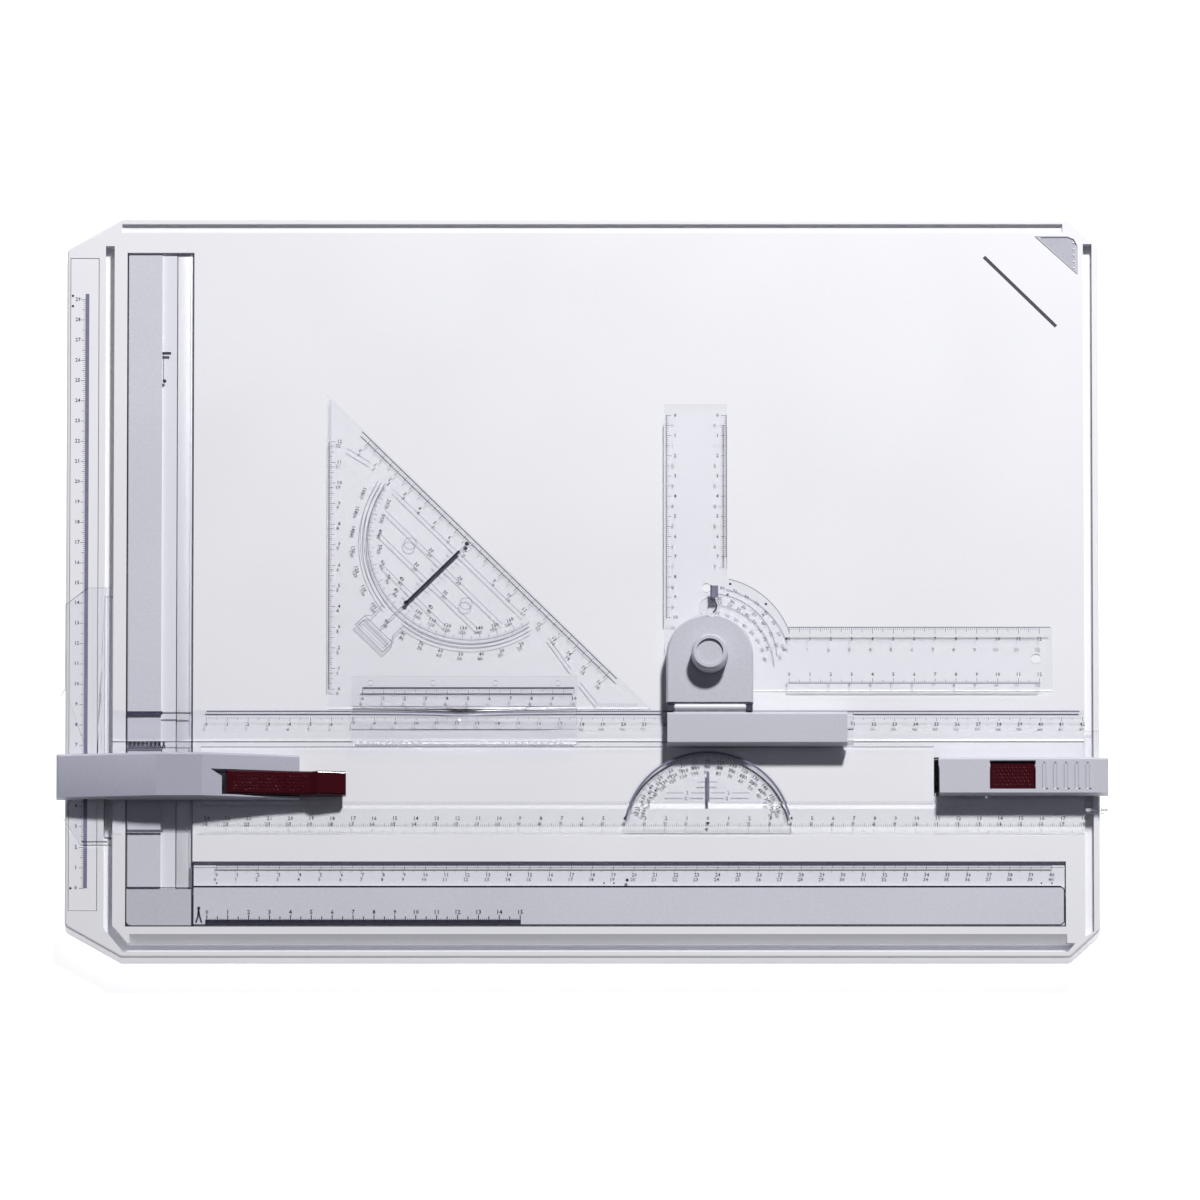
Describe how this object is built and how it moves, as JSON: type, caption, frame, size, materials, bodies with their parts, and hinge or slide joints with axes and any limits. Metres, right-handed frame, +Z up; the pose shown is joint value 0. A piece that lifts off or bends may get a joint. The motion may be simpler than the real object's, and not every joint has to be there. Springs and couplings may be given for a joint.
{
  "type": "portable drawing board",
  "caption": "Flat plastic drawing board with grooved rims and paper clamp rails; a clear sliding parallel bar carries a set square and a swivelling L-shaped ruler head; legs fold out below.",
  "frame": {"origin": "middle of the overall box at the bottom of the rubber feet", "axes": "+X to the right along the parallel bar, +Y towards the back edge, +Z up out of the drawing surface"},
  "size_m": [0.504, 0.366, 0.036],
  "materials": {
    "shell_plastic": "satin lavender-white ABS",
    "grey_plastic": "fine-grained mid grey",
    "clear_acrylic": "clear polished",
    "scale_plastic": "smooth off-white",
    "red_plastic": "dark red, dimpled",
    "white_plastic": "smooth white",
    "dark_plastic": "matt charcoal",
    "steel": "bright zinc",
    "magnet": "dark ferrite",
    "rubber": "matt black",
    "brass": "turned"
  },
  "bodies": {
    "board": {"board_deck": "shell_plastic", "base_cover": "shell_plastic", "base_screws": "steel", "rubber_feet": "rubber", "margin_scale": "scale_plastic", "corner_badge": "grey_plastic", "keeper_strip": "steel", "corner_plate": "grey_plastic", "rail_pivot_rods": "steel", "rail_springs": "steel", "leg_pins": "steel"},
    "left_clamp_rail": {"left_clamp_bar": "grey_plastic", "left_clamp_pane": "clear_acrylic"},
    "front_clamp_rail": {"front_clamp_bar": "grey_plastic", "front_clamp_pane": "clear_acrylic", "clamp_magnets": "magnet"},
    "parallel_bar": {"bar_ruler": "clear_acrylic", "left_guide_shoe": "clear_acrylic", "left_head_cover": "grey_plastic", "lever_pin": "steel", "right_head_cover": "grey_plastic", "right_end_cap": "clear_acrylic", "right_guide_shoe": "clear_acrylic", "head_screws": "steel", "button_spring": "steel"},
    "stop_lever": {"stop_lever": "red_plastic", "brake_pad": "rubber"},
    "release_button": {"release_button": "red_plastic"},
    "bar_latch": {"bar_latch": "dark_plastic"},
    "set_square": {"set_square": "clear_acrylic", "square_handle": "clear_acrylic", "handle_rivets": "clear_acrylic"},
    "carriage": {"carriage_block": "grey_plastic", "carriage_end": "clear_acrylic", "carriage_glides": "white_plastic", "hinge_ears": "dark_plastic", "head_hinge_pin": "steel"},
    "swivel_head": {"head_base": "white_plastic", "head_cap": "grey_plastic", "pivot_bush": "brass"},
    "index_catch": {"index_catch": "clear_acrylic"},
    "angle_ruler": {"angle_ruler": "clear_acrylic"},
    "clamp_knob": {"clamp_knob": "grey_plastic", "clamp_stud": "steel"},
    "leg_left": {"leg_left": "dark_plastic", "leg_left_cap": "rubber"},
    "leg_right": {"leg_right": "dark_plastic", "leg_right_cap": "rubber"}
  },
  "joints": [
    {"name": "left_rail_rock", "type": "hinge", "parent": "board", "child": "left_clamp_rail", "pos_m": [-0.202, 0, 0.0114], "axis": [0, -1, 0], "range_deg": [0, 3], "stiffness_Nm_per_rad": 0.4, "springref_deg": -2.86, "deforming": ["rail_springs"]},
    {"name": "front_rail_rock", "type": "hinge", "parent": "board", "child": "front_clamp_rail", "pos_m": [0, -0.151, 0.0114], "axis": [1, 0, 0], "range_deg": [0, 3], "stiffness_Nm_per_rad": 0.4, "springref_deg": -2.86},
    {"name": "bar_slide", "type": "slide", "parent": "board", "child": "parallel_bar", "axis": [0, 1, 0], "range_m": [-0.012, 0.165]},
    {"name": "stop_lever_press", "type": "hinge", "parent": "parallel_bar", "child": "stop_lever", "pos_m": [-0.152, -0.099, 0.0218], "axis": [0, 1, 0], "range_deg": [0, 4], "stiffness_Nm_per_rad": 1, "springref_deg": -2.86},
    {"name": "button_press", "type": "slide", "parent": "parallel_bar", "child": "release_button", "axis": [0, 0, -1], "range_m": [0, 0.0025], "stiffness_N_per_m": 800, "springref_m": -0.001, "deforming": ["button_spring"]},
    {"name": "latch_slide", "type": "slide", "parent": "parallel_bar", "child": "bar_latch", "axis": [1, 0, 0], "range_m": [0, 0.002]},
    {"name": "square_slide", "type": "slide", "parent": "parallel_bar", "child": "set_square", "axis": [1, 0, 0], "range_m": [-0.06, 0.021]},
    {"name": "carriage_slide", "type": "slide", "parent": "parallel_bar", "child": "carriage", "axis": [1, 0, 0], "range_m": [-0.021, 0.1]},
    {"name": "head_lift", "type": "hinge", "parent": "carriage", "child": "swivel_head", "pos_m": [0.061, -0.0618, 0.0246], "axis": [1, 0, 0], "range_deg": [0, 75]},
    {"name": "ruler_swing", "type": "hinge", "parent": "swivel_head", "child": "angle_ruler", "pos_m": [0.061, -0.0368, 0.0199], "axis": [0, 0, 1], "range_deg": [0, 90]},
    {"name": "knob_turn", "type": "hinge", "parent": "swivel_head", "child": "clamp_knob", "pos_m": [0.061, -0.0368, 0.03], "axis": [0, 0, 1], "range_deg": [-270, 0]},
    {"name": "catch_slide", "type": "slide", "parent": "swivel_head", "child": "index_catch", "axis": [0, 1, 0], "range_m": [0, 0.002], "stiffness_N_per_m": 400, "springref_m": -0.001},
    {"name": "leg_left_fold", "type": "hinge", "parent": "board", "child": "leg_left", "pos_m": [-0.15, 0.148, 0.0062], "axis": [1, 0, 0], "range_deg": [0, 100]},
    {"name": "leg_right_fold", "type": "hinge", "parent": "board", "child": "leg_right", "pos_m": [0.15, 0.148, 0.0062], "axis": [1, 0, 0], "range_deg": [0, 100]}
  ],
  "couplings": [
    {"joint": "latch_slide", "follows": "button_press", "ratio": 0.8}
  ]
}
